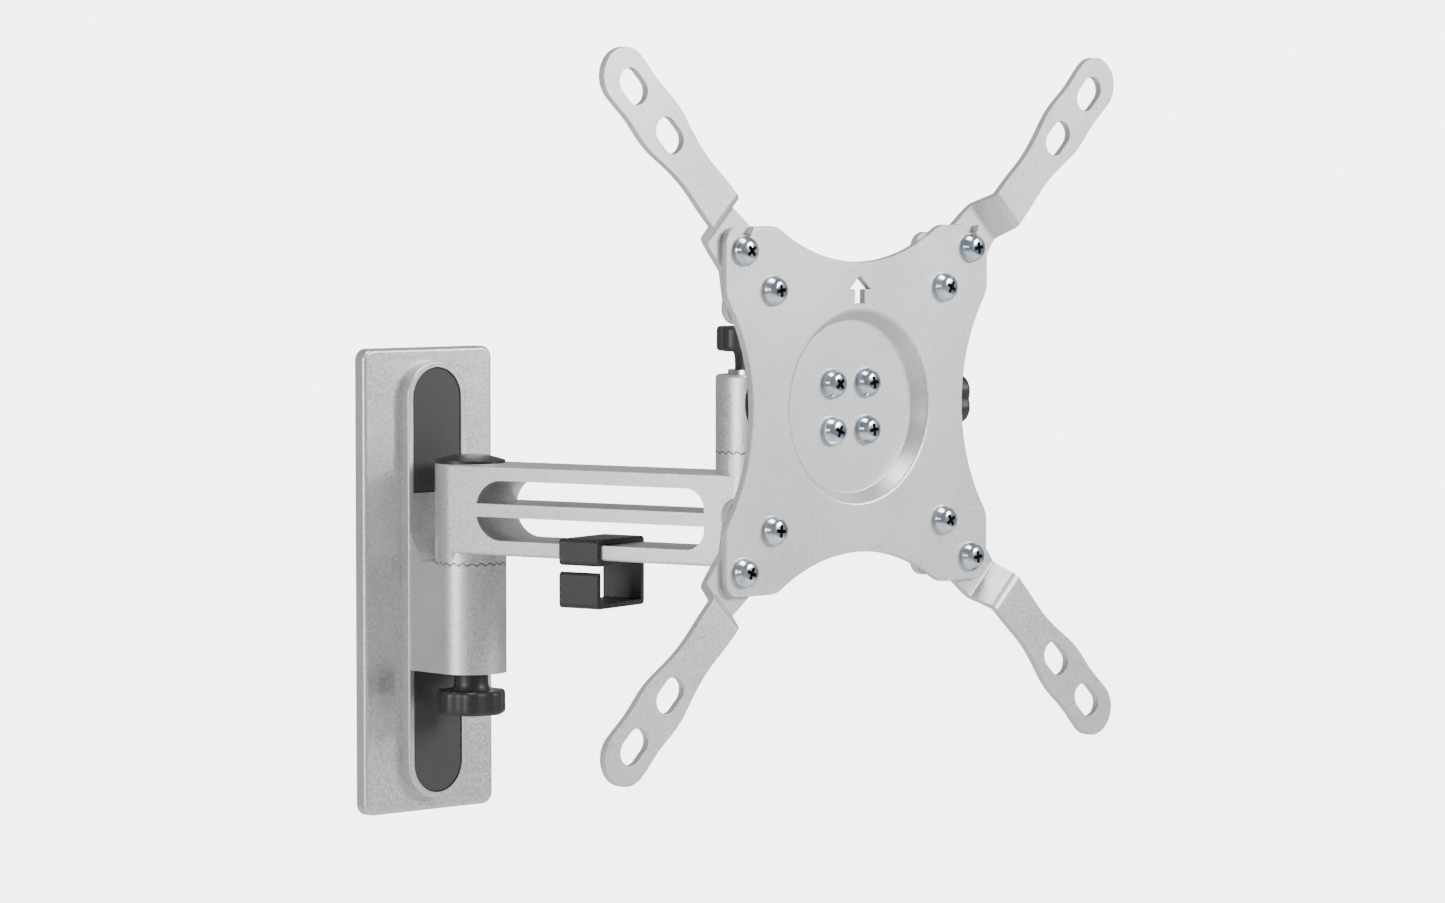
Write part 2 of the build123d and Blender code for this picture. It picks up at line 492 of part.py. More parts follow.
def clamp(prefix, plane, stud_length, washer_t=WASHER_T):
    """Lobed knob, stud and perhaps a washer; the plane lies on the barrel end, facing the knob."""
    def out(d):
        return Plane(origin=plane.origin + plane.z_dir * d, x_dir=plane.x_dir,
                     z_dir=plane.z_dir)
    if washer_t:
        with BuildPart() as washer:
            with BuildSketch(plane):
                Circle(WASHER_R)
                Circle(STUD_R + RUN_GAP, mode=Mode.SUBTRACT)
            extrude(amount=washer_t)
        finish(washer.part, prefix + "_washer")
    foot = washer_t + RUN_GAP
    with BuildPart() as knob:
        with BuildSketch(out(foot)):
            Circle(STEM_R)
        extrude(amount=STEM_L)
        with BuildSketch(out(foot + STEM_L)):
            Circle(KNOB_R)
            with PolarLocations(KNOB_R + 2.6, LOBES):
                Circle(3.8, mode=Mode.SUBTRACT)
        extrude(amount=KNOB_T)
        chamfer(knob.faces().filter_by(lambda f: abs((f.center() - plane.origin).dot(
            plane.z_dir) - foot - STEM_L - KNOB_T) < 0.01).edges(), 0.5)
        with BuildSketch(out(foot)):
            Circle(STUD_R)
        extrude(amount=STEM_L + KNOB_T - 2, mode=Mode.SUBTRACT)
    finish(knob.part, prefix + "_knob")
    with BuildPart() as stud:
        with BuildSketch(out(foot + STEM_L + KNOB_T - 2)):
            Circle(STUD_R)
        extrude(amount=-stud_length)
        chamfer(stud.edges().filter_by(GeomType.CIRCLE), 0.5)
    finish(stud.part, prefix + "_stud")


clamp("wall", Plane(origin=(0, WALL_AXIS_Y, WALL_BARREL_BOTTOM), x_dir=(1, 0, 0),
                    z_dir=(0, 0, -1)), 82, washer_t=0)
clamp("head", level(HEAD_TOP, HEAD_X, HEAD_Y), 75)
clamp("tilt", sideways(HEAD_X + TILT_BARREL_END, TILT_Y, TILT_Z), 75)
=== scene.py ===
# %% [markdown]
# # Full motion TV wall mount
# The mount is a handful of light alloy castings and pressed steel sheets in one silver coat, a few
# black plastic fittings, and bright zinc screws. The frame already holds every part at its true
# size, so this lesson is about surfaces, and about the small repeated parts that carry detail.

# %% Load the frame
import json
from math import cos, pi, radians, sin

import bmesh
import bpy
from mathutils import Matrix, Vector


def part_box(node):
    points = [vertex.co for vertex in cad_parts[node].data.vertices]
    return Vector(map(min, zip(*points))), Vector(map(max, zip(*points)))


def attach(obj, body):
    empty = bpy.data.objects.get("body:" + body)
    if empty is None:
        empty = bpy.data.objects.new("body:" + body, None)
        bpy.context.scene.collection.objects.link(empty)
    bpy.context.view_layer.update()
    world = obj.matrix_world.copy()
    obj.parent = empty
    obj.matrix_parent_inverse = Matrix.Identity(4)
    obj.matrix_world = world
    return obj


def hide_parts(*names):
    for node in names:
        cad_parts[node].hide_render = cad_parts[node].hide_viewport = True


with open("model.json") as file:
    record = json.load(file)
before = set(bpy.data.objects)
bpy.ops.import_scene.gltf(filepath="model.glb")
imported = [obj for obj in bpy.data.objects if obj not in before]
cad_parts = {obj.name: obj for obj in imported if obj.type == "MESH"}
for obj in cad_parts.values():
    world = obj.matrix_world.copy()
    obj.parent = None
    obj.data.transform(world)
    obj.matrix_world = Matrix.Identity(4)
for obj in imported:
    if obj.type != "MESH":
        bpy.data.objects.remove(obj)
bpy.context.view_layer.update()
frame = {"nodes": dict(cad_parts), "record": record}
nodes, record = frame["nodes"], frame["record"]

# %% [markdown]
# ## Speckle, shared by every coated or moulded surface
# Powder paint dries as tiny beads, and moulded plastic keeps the grain of its tool. Both are a fine
# noise in colour, gloss and height, with a slow drift over it. That is one effect with different
# numbers, so it is a node group that each material places with its own values. It reads Object
# coordinates, in metres, so the grain stays the same real size on every piece.

# %% The speckle group
def new_node(tree, kind, **values):
    """Adds a node; keyword names are socket names with _ for a space, or node settings."""
    node = tree.nodes.new(kind)
    for key, value in values.items():
        name = key.replace("_", " ")
        if name in node.inputs:
            node.inputs[name].default_value = value
        else:
            setattr(node, key, value)
    return node


def make_speckle():
    group = bpy.data.node_groups.new("speckle", "ShaderNodeTree")
    face = group.interface
    for name, kind, value in (("Dark", "NodeSocketColor", (0.4, 0.4, 0.4, 1)),
                              ("Light", "NodeSocketColor", (0.6, 0.6, 0.6, 1)),
                              ("Grain", "NodeSocketFloat", 1800.0),
                              ("Drift", "NodeSocketFloat", 30.0),
                              ("Gloss low", "NodeSocketFloat", 0.35),
                              ("Gloss high", "NodeSocketFloat", 0.55),
                              ("Height", "NodeSocketFloat", 0.15)):
        face.new_socket(name, in_out="INPUT", socket_type=kind).default_value = value
    for name, kind in (("Color", "NodeSocketColor"), ("Roughness", "NodeSocketFloat"),
                       ("Normal", "NodeSocketVector")):
        face.new_socket(name, in_out="OUTPUT", socket_type=kind)
    link = group.links.new
    start = group.nodes.new("NodeGroupInput")
    end = group.nodes.new("NodeGroupOutput")
    place = group.nodes.new("ShaderNodeTexCoord")
    grain = new_node(group, "ShaderNodeTexNoise", Detail=3.0, Roughness=0.6)
    drift = new_node(group, "ShaderNodeTexNoise", Detail=2.0, Roughness=0.5)
    for noise, name in ((grain, "Grain"), (drift, "Drift")):
        link(place.outputs["Object"], noise.inputs["Vector"])
        link(start.outputs[name], noise.inputs["Scale"])
    both = new_node(group, "ShaderNodeMath", operation="MULTIPLY_ADD")
    both.inputs[1].default_value = 0.35
    link(drift.outputs["Fac"], both.inputs[0])
    link(grain.outputs["Fac"], both.inputs[2])
    spread = new_node(group, "ShaderNodeMapRange", From_Min=0.42, From_Max=0.92)
    link(both.outputs[0], spread.inputs["Value"])
    tint = new_node(group, "ShaderNodeMix", data_type="RGBA")
    link(spread.outputs["Result"], tint.inputs["Factor"])
    link(start.outputs["Dark"], tint.inputs[6])
    link(start.outputs["Light"], tint.inputs[7])
    link(tint.outputs[2], end.inputs["Color"])
    gloss = new_node(group, "ShaderNodeMapRange", From_Min=0.3, From_Max=0.7)
    link(grain.outputs["Fac"], gloss.inputs["Value"])
    link(start.outputs["Gloss low"], gloss.inputs["To Min"])
    link(start.outputs["Gloss high"], gloss.inputs["To Max"])
    link(gloss.outputs["Result"], end.inputs["Roughness"])
    bump = new_node(group, "ShaderNodeBump", Distance=0.0002)
    link(start.outputs["Height"], bump.inputs["Strength"])
    link(grain.outputs["Fac"], bump.inputs["Height"])
    link(bump.outputs["Normal"], end.inputs["Normal"])
    return group


speckle = make_speckle()
print("speckle inputs", [s.name for s in speckle.interface.items_tree if s.in_out == "INPUT"])

# %% A material from the speckle group
def coated(name, dark, light, metallic=0.0, **speckle_values):
    """One finish: the shared speckle with its own numbers, and constants on the shader itself."""
    material = bpy.data.materials.new(name)
    material.use_nodes = True
    tree = material.node_tree
    shader = tree.nodes["Principled BSDF"]
    shader.inputs["Metallic"].default_value = metallic
    grain = tree.nodes.new("ShaderNodeGroup")
    grain.node_tree = speckle
    grain.inputs["Dark"].default_value = (*dark, 1)
    grain.inputs["Light"].default_value = (*light, 1)
    for key, value in speckle_values.items():
        grain.inputs[key.replace("_", " ")].default_value = value
    for output, socket in (("Color", "Base Color"), ("Roughness", "Roughness"),
                           ("Normal", "Normal")):
        tree.links.new(grain.outputs[output], shader.inputs[socket])
    return material


# %% [markdown]
# ## The finishes
# The castings and the pressed sheets share one silver paint. On the castings it lies over a coarse
# blasted skin and shines a little more; on the sheets its grain is finer and flatter. The two lids
# are charcoal plastic, the knobs, caps and clip are black and slightly glossier, and the screws are
# bright zinc with a faint blue passivation. The walls of the screw recesses get painted shade: a
# dark, dull colour that stands in for the shadow in the cross.

# %% Silver, black and zinc
cast_silver = coated("cast_silver", (0.44, 0.44, 0.443), (0.72, 0.72, 0.72), metallic=0.85,
                     Grain=1500.0, Gloss_low=0.30, Gloss_high=0.46, Height=0.3)
sheet_silver = coated("sheet_silver", (0.46, 0.46, 0.463), (0.72, 0.72, 0.72), metallic=0.8,
                      Grain=1900.0, Gloss_low=0.34, Gloss_high=0.5, Height=0.25)
charcoal = coated("charcoal_plastic", (0.024, 0.024, 0.026), (0.042, 0.042, 0.045),
                  Grain=1300.0, Gloss_low=0.42, Gloss_high=0.62, Height=0.2)
black = coated("black_plastic", (0.006, 0.006, 0.0065), (0.015, 0.015, 0.016),
               Grain=1600.0, Gloss_low=0.34, Gloss_high=0.5, Height=0.14)
zinc = coated("bright_zinc", (0.30, 0.38, 0.46), (0.68, 0.72, 0.76), metallic=1.0,
              Grain=260.0, Drift=120.0, Gloss_low=0.12, Gloss_high=0.24, Height=0.04)
# painted shade: the cross recess is coloured dark blue-grey for its shadow, though the real screw
# is zinc there too
recess_painted_shade = coated("screw_recess_painted_shade", (0.02, 0.03, 0.04), (0.12, 0.15, 0.19), metallic=0.9,
                Grain=900.0, Gloss_low=0.4, Gloss_high=0.6, Height=0.1)
FINISHES = {"casting": cast_silver, "sheet": sheet_silver, "cover_plastic": charcoal,
            "black_plastic": black, "zinc": zinc}
print("finishes", list(FINISHES))

# %% [markdown]
# ## Castings, sheets and mouldings
# The CAD meshes have the right shapes, but each is a soup of loose triangles, so light breaks at
# every facet of a barrel. A merged copy of each node shares its corners again. Faces that meet
# gently are then shaded as one smooth surface, and edges sharper than 32 degrees stay crisp.

# %% Merged copies of the CAD nodes
body_of_node = {n: b for b, members in record["behaviour"]["bodies"].items() for n in members}
slot_of_node = {s["node"]: s["material_slot"] for s in record["subparts"]}

# radius of the worn edges, in metres
ROUNDED = {name: 0.0003 for name in (
    "vesa_plate", "adapter_upper_left", "adapter_upper_right", "adapter_lower_left",
    "adapter_lower_right", "wall_bracket", "head_knuckle", "cable_clip", "tilt_bracket")}
ROUNDED["swing_arm"] = 0.0006
WELD, SPECK = 2e-6, 1e-6                     # corners that are one point, edges too short to keep
FLAT, CRISP, WORN = radians(0.4), radians(32), radians(40)
CRISP_GROWN = radians(38)                    # the same for the pieces that trees make


def smooth_copy(node):
    """A welded, smooth shaded copy of a CAD node, in its finish, on the node's own body."""
    mesh = nodes[node].data.copy()
    mesh.name = node + "_skin"
    for name in [a.name for a in mesh.attributes if "normal" in a.name or "sharp" in a.name]:
        mesh.attributes.remove(mesh.attributes[name])
    shape = bmesh.new()
    shape.from_mesh(mesh)
    bmesh.ops.remove_doubles(shape, verts=shape.verts, dist=WELD)
    bmesh.ops.dissolve_degenerate(shape, edges=shape.edges, dist=SPECK)
    bmesh.ops.dissolve_limit(shape, angle_limit=FLAT, verts=shape.verts,
                             edges=shape.edges)
    shape.to_mesh(mesh)
    shape.free()
    mesh.materials.clear()
    mesh.materials.append(FINISHES[slot_of_node[node]])
    mesh.shade_smooth()
    mesh.set_sharp_from_angle(angle=CRISP)
    piece = bpy.data.objects.new(node + "_skin", mesh)
    bpy.context.collection.objects.link(piece)
    if node in ROUNDED:
        edge = piece.modifiers.new("worn edges", "BEVEL")
        edge.width, edge.segments, edge.limit_method = ROUNDED[node], 2, "ANGLE"
        edge.angle_limit = WORN
        edge.use_clamp_overlap = True
    even = piece.modifiers.new("even light", "WEIGHTED_NORMAL")
    even.keep_sharp = True
    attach(piece, body_of_node[node])
    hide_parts(node)
    return piece


GN_NODES = ("adapter_screws", "centre_screws", "wall_knob", "head_knob", "tilt_knob")
for node in sorted(nodes):
    if node not in GN_NODES:
        print(f"{node:22s} {len(smooth_copy(node).data.polygons):6d} faces")

# %% [markdown]
# ## Small helpers for geometry trees
# A geometry tree is easiest to read as a few lines of arithmetic. These helpers add a maths node,
# give the tree named inputs, and turn the evaluated result into a plain mesh whose faces all look
# outwards. Its volume and size are printed, so a piece that came out wrong shows at once.

# %% Tree helpers
class Tree:
    """A geometry tree under construction."""

    def __init__(self, name, sizes, material_names):
        self.group = bpy.data.node_groups.new(name, "GeometryNodeTree")
        face = self.group.interface
        face.new_socket("Geometry", in_out="INPUT", socket_type="NodeSocketGeometry")
        for key, value in sizes.items():
            size = face.new_socket(key, in_out="INPUT", socket_type="NodeSocketFloat")
            size.default_value = value
        for key in material_names:
            face.new_socket(key, in_out="INPUT", socket_type="NodeSocketMaterial")
        face.new_socket("Geometry", in_out="OUTPUT", socket_type="NodeSocketGeometry")
        self.start = self.group.nodes.new("NodeGroupInput")
        self.end = self.group.nodes.new("NodeGroupOutput")

    def size(self, name):
        """One of the tree's inputs."""
        return self.start.outputs[name]

    def add(self, kind, links=(), **values):
        """A node, with its incoming links and its settings."""
        node = new_node(self.group, kind, **values)
        for socket, source in dict(links).items():
            self.group.links.new(source, node.inputs[socket])
        return node

    def num(self, operation, *terms):
        """A maths node on numbers and sockets."""
        node = self.group.nodes.new("ShaderNodeMath")
        node.operation = operation
        for i, term in enumerate(terms):
            if isinstance(term, (int, float)):
                node.inputs[i].default_value = term
            else:
                self.group.links.new(term, node.inputs[i])
        return node.outputs[0]

    def finish(self, geometry):
        self.group.links.new(geometry, self.end.inputs["Geometry"])


def grow(label, mesh, tree, inputs, body, node=None):
    """Runs a tree on a mesh, keeps the result as a plain mesh, and puts it on a body."""
    seed = bpy.data.objects.new(label + "_seed", mesh)
    bpy.context.collection.objects.link(seed)
    modifier = seed.modifiers.new("tree", "NODES")
    modifier.node_group = tree.group
    sockets = {s.name: s.identifier for s in tree.group.interface.items_tree
               if s.in_out == "INPUT"}
    for name, value in inputs.items():
        modifier[sockets[name]] = value
    bpy.context.view_layer.update()
    result = bpy.data.meshes.new_from_object(
        seed.evaluated_get(bpy.context.evaluated_depsgraph_get()))
    seed.modifiers.remove(modifier)
    bpy.data.objects.remove(seed)
    result.name = label
    shape = bmesh.new()
    shape.from_mesh(result)
    bmesh.ops.recalc_face_normals(shape, faces=shape.faces)
    volume = shape.calc_volume(signed=True) * 1e9
    low = [min(v.co[i] for v in shape.verts) for i in range(3)]
    high = [max(v.co[i] for v in shape.verts) for i in range(3)]
    shape.to_mesh(result)
    shape.free()
    result.shade_smooth()
    result.set_sharp_from_angle(angle=CRISP_GROWN)
    piece = bpy.data.objects.new(label, result)
    bpy.context.collection.objects.link(piece)
    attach(piece, body)
    if node:
        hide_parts(node)
    print(f"{label}: {len(result.polygons)} faces, {volume:.0f} mm3,",
          "size", [round(1000 * (b - a), 2) for a, b in zip(low, high)])
    return piece


# %% [markdown]
# ## Pan head screws
# Twelve 5 mm screws hold the plate and the adapters. Each has a domed head with a pressed cross
# and a threaded shank whose end shows behind the plate. One screw is built from a cylinder whose
# top is pulled down towards its rim, two tapered bars cut the cross, and the shank's radius
# follows a helix. The tree then sets that screw on every point, each turned its own way.

# %% The screw tree
def polar(tree):
    """The position field of a primitive: x, y, z, its radius and its angle."""
    place = tree.add("GeometryNodeInputPosition")
    axes = tree.add("ShaderNodeSeparateXYZ", {"Vector": place.outputs[0]})
    x, y, z = axes.outputs
    radius = tree.num("SQRT", tree.num("ADD", tree.num("MULTIPLY", x, x),
                                       tree.num("MULTIPLY", y, y)))
    return x, y, z, radius, tree.num("ARCTAN2", y, x)


def moved(tree, geometry, x, y, z):
    """Set Position with one field for each coordinate."""
    where = tree.group.nodes.new("ShaderNodeCombineXYZ")
    for socket, term in zip(where.inputs, (x, y, z)):
        if isinstance(term, (int, float)):
            socket.default_value = term
        else:
            tree.group.links.new(term, socket)
    return tree.add("GeometryNodeSetPosition", {"Geometry": geometry,
                                                "Position": where.outputs[0]}).outputs[0]


def make_screw_tree():
    t = Tree("pan_screw", {"Head radius": 0.00475, "Head height": 0.0037, "Rim power": 3.4,
                           "Rim drop": 0.0017, "Rim pull": 0.13, "Cross taper": 95.0,
                           "Shank radius": 0.0025, "Shank length": 0.0075,
                           "Thread pitch": 0.0008, "Thread depth": 0.055}, ("Metal", "Recess shade"))
    head = t.add("GeometryNodeMeshCylinder", {"Radius": t.size("Head radius"),
                                              "Depth": t.size("Head height")},
                 Vertices=48, Side_Segments=5, Fill_Segments=9)
    x, y, z, radius, _ = polar(t)
    rim = t.num("POWER", t.num("DIVIDE", radius, t.size("Head radius")),
                t.size("Rim power"))
    up = t.num("ADD", t.num("DIVIDE", z, t.size("Head height")), 0.5)
    drop = t.num("MULTIPLY", t.num("MULTIPLY", rim, up), t.size("Rim drop"))
    inward = t.num("MULTIPLY", rim, t.num("POWER", up, 4.0))
    pull = t.num("SUBTRACT", 1.0, t.num("MULTIPLY", inward, t.size("Rim pull")))
    raised = t.num("ADD", t.num("SUBTRACT", z, drop), t.num("MULTIPLY",
                                                            t.size("Head height"), 0.5))
    head = moved(t, head.outputs["Mesh"], t.num("MULTIPLY", x, pull),
                 t.num("MULTIPLY", y, pull), raised)
    bars = []
    long, thin, deep = 0.0052, 0.0015, 0.0050
    for size in ((long, thin, deep), (thin, long, deep)):
        bar = t.add("GeometryNodeMeshCube", Vertices_X=2, Vertices_Y=2, Vertices_Z=2)
        bar.inputs["Size"].default_value = size
        bx, by, bz, _, _ = polar(t)
        taper = t.num("ADD", t.num("MULTIPLY", bz, t.size("Cross taper")), 0.80)
        lifted = t.num("ADD", bz, t.num("ADD", t.size("Head height"), 0.0001))
        bars.append(moved(t, bar.outputs["Mesh"], t.num("MULTIPLY", bx, taper),
                          t.num("MULTIPLY", by, taper), lifted))
    cross = t.add("GeometryNodeMeshBoolean", operation="UNION", solver="EXACT")
    for bar in bars:
        t.group.links.new(bar, cross.inputs["Mesh 2"])
    # the walls of the cross take the painted shade material, dark for the shadow inside the recess
    cross = t.add("GeometryNodeSetMaterial", {"Geometry": cross.outputs["Mesh"],
                                              "Material": t.size("Recess shade")})
    head = t.add("GeometryNodeSetMaterial", {"Geometry": head, "Material": t.size("Metal")})
    cut = t.add("GeometryNodeMeshBoolean", {"Mesh 1": head.outputs[0]}, operation="DIFFERENCE",
                solver="EXACT")
    t.group.links.new(cross.outputs[0], cut.inputs["Mesh 2"])
    shank = t.add("GeometryNodeMeshCylinder", {"Radius": t.size("Shank radius"),
                                               "Depth": t.size("Shank length")},
                  Vertices=20, Side_Segments=60, Fill_Segments=1)
    x, y, z, _, turn = polar(t)
    pitches = t.num("DIVIDE", z, t.size("Thread pitch"))
    wind = t.num("SINE", t.num("ADD", t.num("MULTIPLY", pitches, 2 * pi), turn))
    depth = t.num("ADD", t.num("MULTIPLY", wind, t.size("Thread depth")), 0.94)
    lowered = t.num("SUBTRACT", z, t.num("MULTIPLY", t.size("Shank length"), 0.5))
    shank = moved(t, shank.outputs["Mesh"], t.num("MULTIPLY", x, depth),
                  t.num("MULTIPLY", y, depth), lowered)
    shank = t.add("GeometryNodeSetMaterial", {"Geometry": shank, "Material": t.size("Metal")})
    whole = t.add("GeometryNodeJoinGeometry")
    t.group.links.new(cut.outputs["Mesh"], whole.inputs[0])
    t.group.links.new(shank.outputs[0], whole.inputs[0])
    spin = t.add("FunctionNodeRandomValue", data_type="FLOAT")
    for socket in spin.inputs:
        if socket.enabled and socket.name == "Max":
            socket.default_value = pi / 2
        if socket.enabled and socket.name == "Seed":
            socket.default_value = 7
    turned = t.add("FunctionNodeRotateEuler", space="LOCAL")
    turned.inputs[0].default_value = (pi / 2, 0, 0)
    spun = t.group.nodes.new("ShaderNodeCombineXYZ")
    random_out = next(o for o in spin.outputs if o.enabled)
    t.group.links.new(random_out, spun.inputs[2])
    t.group.links.new(spun.outputs[0], turned.inputs[1])
    placed = t.add("GeometryNodeInstanceOnPoints", {"Points": t.size("Geometry"),
                                                    "Instance": whole.outputs[0],
                                                    "Rotation": turned.outputs[0]})
    real = t.add("GeometryNodeRealizeInstances", {"Geometry": placed.outputs[0]})
    t.finish(real.outputs[0])
    return t


screw_tree = make_screw_tree()
print("screw tree", len(screw_tree.group.nodes), "nodes")

# %% Where the screws go
joints = {j["name"]: j for j in record["behaviour"]["joints"]}
centre_x, _, centre_z = joints["tilt"]["pos_m"]
plate_low, plate_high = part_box("vesa_plate")
SHEET = 0.0025
dish_floor_y = plate_high.y - SHEET


def points_mesh(name, places):
    """Loose points for a tree to build on."""
    mesh = bpy.data.meshes.new(name)
    mesh.from_pydata([Vector(p) for p in places], [], [])
    return mesh


def square(half, y):
    """The corners of a screw square, round the middle of the plate."""
    return [(centre_x + sx * half, y, centre_z + sz * half) for sx in (-1, 1) for sz in (-1, 1)]


for node, places in (("adapter_screws", square(0.05, plate_low.y) + square(0.0375, plate_low.y)),
                     ("centre_screws", square(0.0075, dish_floor_y))):
    grow(node + "_detailed", points_mesh(node, places), screw_tree,
         {"Metal": zinc, "Recess shade": recess_painted_shade}, body_of_node[node], node)
print("plate front at", round(plate_low.y, 4), "dish floor at", round(dish_floor_y, 4))

# %% [markdown]
# ## Lobed knobs
# Three identical moulded knobs clamp the joints. A knob is a short fat disc whose rim swells into
# seven finger lobes, on a narrower neck. The disc is a cylinder pushed into shape by its own polar
# coordinates: one wave for the lobes, one power for the rounded lips at the top and bottom, and a
# shallow hollow in the top. The neck is a second cylinder that flares where it meets the disc.

# %% The knob tree
def make_knob_tree():
    t = Tree("lobed_knob", {"Radius": 0.0117, "Thickness": 0.008, "Neck radius": 0.00575,
                            "Neck length": 0.006, "Neck flare": 0.16, "Lobes": 7.0,
                            "Lobe depth": 0.085, "Lip": 0.06, "Hollow": 0.0016}, ("Plastic",))
    disc = t.add("GeometryNodeMeshCylinder", {"Radius": t.size("Radius"),
                                              "Depth": t.size("Thickness")},
                 Vertices=168, Side_Segments=16, Fill_Segments=10)
    x, y, z, radius, turn = polar(t)
    wave = t.num("COSINE", t.num("MULTIPLY", turn, t.size("Lobes")))
    dip = t.num("POWER", t.num("SUBTRACT", 0.5, t.num("MULTIPLY", wave, 0.5)), 1.6)
    share = t.num("DIVIDE", radius, t.size("Radius"))
    height = t.num("ABSOLUTE", t.num("DIVIDE", t.num("MULTIPLY", z, 2.0), t.size("Thickness")))
    edge = t.num("POWER", height, 9.0)
    lobes = t.num("MULTIPLY", dip, t.size("Lobe depth"))
    rim = t.num("SUBTRACT", 1.0, t.num("MULTIPLY", lobes, t.num("POWER", share, 3.0)))
    lip = t.num("SUBTRACT", 1.0, t.num("MULTIPLY", edge, t.size("Lip")))
    factor = t.num("MULTIPLY", rim, lip)
    on_top = t.num("GREATER_THAN", t.num("DIVIDE", z, t.size("Thickness")), 0.49)
    near_middle = t.num("SMOOTH_MAX", t.num("SUBTRACT", 0.62, share), 0.0, 0.08)
    sunk = t.num("MULTIPLY", on_top, t.num("MULTIPLY", near_middle, t.size("Hollow")))
    middle = t.num("ADD", t.size("Neck length"), t.num("MULTIPLY", t.size("Thickness"), 0.5))
    lifted = t.num("ADD", t.num("SUBTRACT", z, sunk), middle)
    disc = moved(t, disc.outputs["Mesh"], t.num("MULTIPLY", x, factor),
                 t.num("MULTIPLY", y, factor), lifted)
    neck = t.add("GeometryNodeMeshCylinder", {"Radius": t.size("Neck radius"),
                                              "Depth": t.size("Neck length")},
                 Vertices=48, Side_Segments=6, Fill_Segments=2)
    x, y, z, _, _ = polar(t)
    up = t.num("ADD", t.num("DIVIDE", z, t.size("Neck length")), 0.5)
    flare = t.num("ADD", 1.0, t.num("MULTIPLY", t.num("POWER", up, 6.0), t.size("Neck flare")))
    lifted = t.num("ADD", z, t.num("MULTIPLY", t.size("Neck length"), 0.5))
    neck = moved(t, neck.outputs["Mesh"], t.num("MULTIPLY", x, flare),
                 t.num("MULTIPLY", y, flare), lifted)
    whole = t.add("GeometryNodeJoinGeometry")
    t.group.links.new(disc, whole.inputs[0])
    t.group.links.new(neck, whole.inputs[0])
    placed = t.add("GeometryNodeInstanceOnPoints", {"Points": t.size("Geometry"),
                                                    "Instance": whole.outputs[0]})
    real = t.add("GeometryNodeRealizeInstances", {"Geometry": placed.outputs[0]})
    done = t.add("GeometryNodeSetMaterial", {"Geometry": real.outputs[0],
                                             "Material": t.size("Plastic")})
    t.finish(done.outputs[0])
    return t


knob_tree = make_knob_tree()
print("knob tree", len(knob_tree.group.nodes), "nodes")

# %% The three knobs
KNOB_AXES = {"wall_knob": ("arm_swing", Vector((0, 0, -1))),
             "head_knob": ("head_swivel", Vector((0, 0, 1))),
             "tilt_knob": ("tilt", Vector((1, 0, 0)))}
KNOB_HEIGHT = 0.014                          # neck and disc
for node, (joint, axis) in KNOB_AXES.items():
    low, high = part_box(node)
    foot = Vector(joints[joint]["pos_m"])
    foot += axis * (max((low - foot) @ axis, (high - foot) @ axis) - KNOB_HEIGHT)
    piece = grow(node + "_detailed", points_mesh(node, [(0, 0, 0)]), knob_tree,
                 {"Plastic": black}, body_of_node[node], node)
    piece.data.transform(Matrix.Translation(foot) @ axis.to_track_quat("Z", "Y")
                         .to_matrix().to_4x4())
    piece.data.update()
    print(node, "foot at", [round(v, 4) for v in foot])

# %% [markdown]
# ## Teeth in the two seams
# The upright pivots lock by rings of face teeth, 24 to the turn. The frame keeps the two rings just
# apart so that they can turn past each other. On the real mount they sit in mesh with a hairline
# between them, so each upper barrel gets a thin ring of teeth that fills the gap down to that
# hairline. A rectangle swept round a circle is the ring, and a wave in the angle bends it.

# %% The tooth ring tree
def make_ring_tree():
    t = Tree("tooth_ring", {"Outer radius": 0.012, "Inner radius": 0.0077, "Thickness": 0.00065,
                            "Hairline": 0.0004, "Teeth": 24.0, "Tooth depth": 0.0009,
                            "Half gap": 0.00145}, ("Paint",))
    middle = t.num("MULTIPLY", t.num("ADD", t.size("Outer radius"), t.size("Inner radius")), 0.5)
    width = t.num("SUBTRACT", t.size("Outer radius"), t.size("Inner radius"))
    path = t.add("GeometryNodeCurvePrimitiveCircle", {"Radius": middle}, mode="RADIUS",
                 Resolution=192)
    profile = t.add("GeometryNodeCurvePrimitiveQuadrilateral", mode="RECTANGLE")
    t.group.links.new(width, profile.inputs[0])
    t.group.links.new(t.size("Thickness"), profile.inputs[1])
    ring = t.add("GeometryNodeCurveToMesh", {"Curve": path.outputs[0],
                                             "Profile Curve": profile.outputs[0]})
    x, y, z, radius, turn = polar(t)
    share = t.num("MULTIPLY", t.num("DIVIDE", turn, 2 * pi), t.size("Teeth"))
    step = t.num("FRACT", t.num("ADD", share, 24.0))
    off = t.num("SUBTRACT", 0.5, t.num("ABSOLUTE", t.num("SUBTRACT", step, 0.5)))
    angle = t.num("MULTIPLY", off, t.num("DIVIDE", 2 * pi, t.size("Teeth")))
    arc = t.num("MULTIPLY", angle, radius)
    fall = t.num("MAXIMUM", 0.0, t.num("SUBTRACT", 1.0, t.num("DIVIDE", arc, t.size("Half gap"))))
    resting = t.num("ADD", t.num("MULTIPLY", t.size("Thickness"), 0.5), t.size("Hairline"))
    height = t.num("SUBTRACT", resting, t.num("MULTIPLY", fall, t.size("Tooth depth")))
    bent = moved(t, ring.outputs[0], x, y, t.num("ADD", z, height))
    placed = t.add("GeometryNodeInstanceOnPoints", {"Points": t.size("Geometry"),
                                                    "Instance": bent})
    real = t.add("GeometryNodeRealizeInstances", {"Geometry": placed.outputs[0]})
    done = t.add("GeometryNodeSetMaterial", {"Geometry": real.outputs[0],
                                             "Material": t.size("Paint")})
    t.finish(done.outputs[0])
    return t


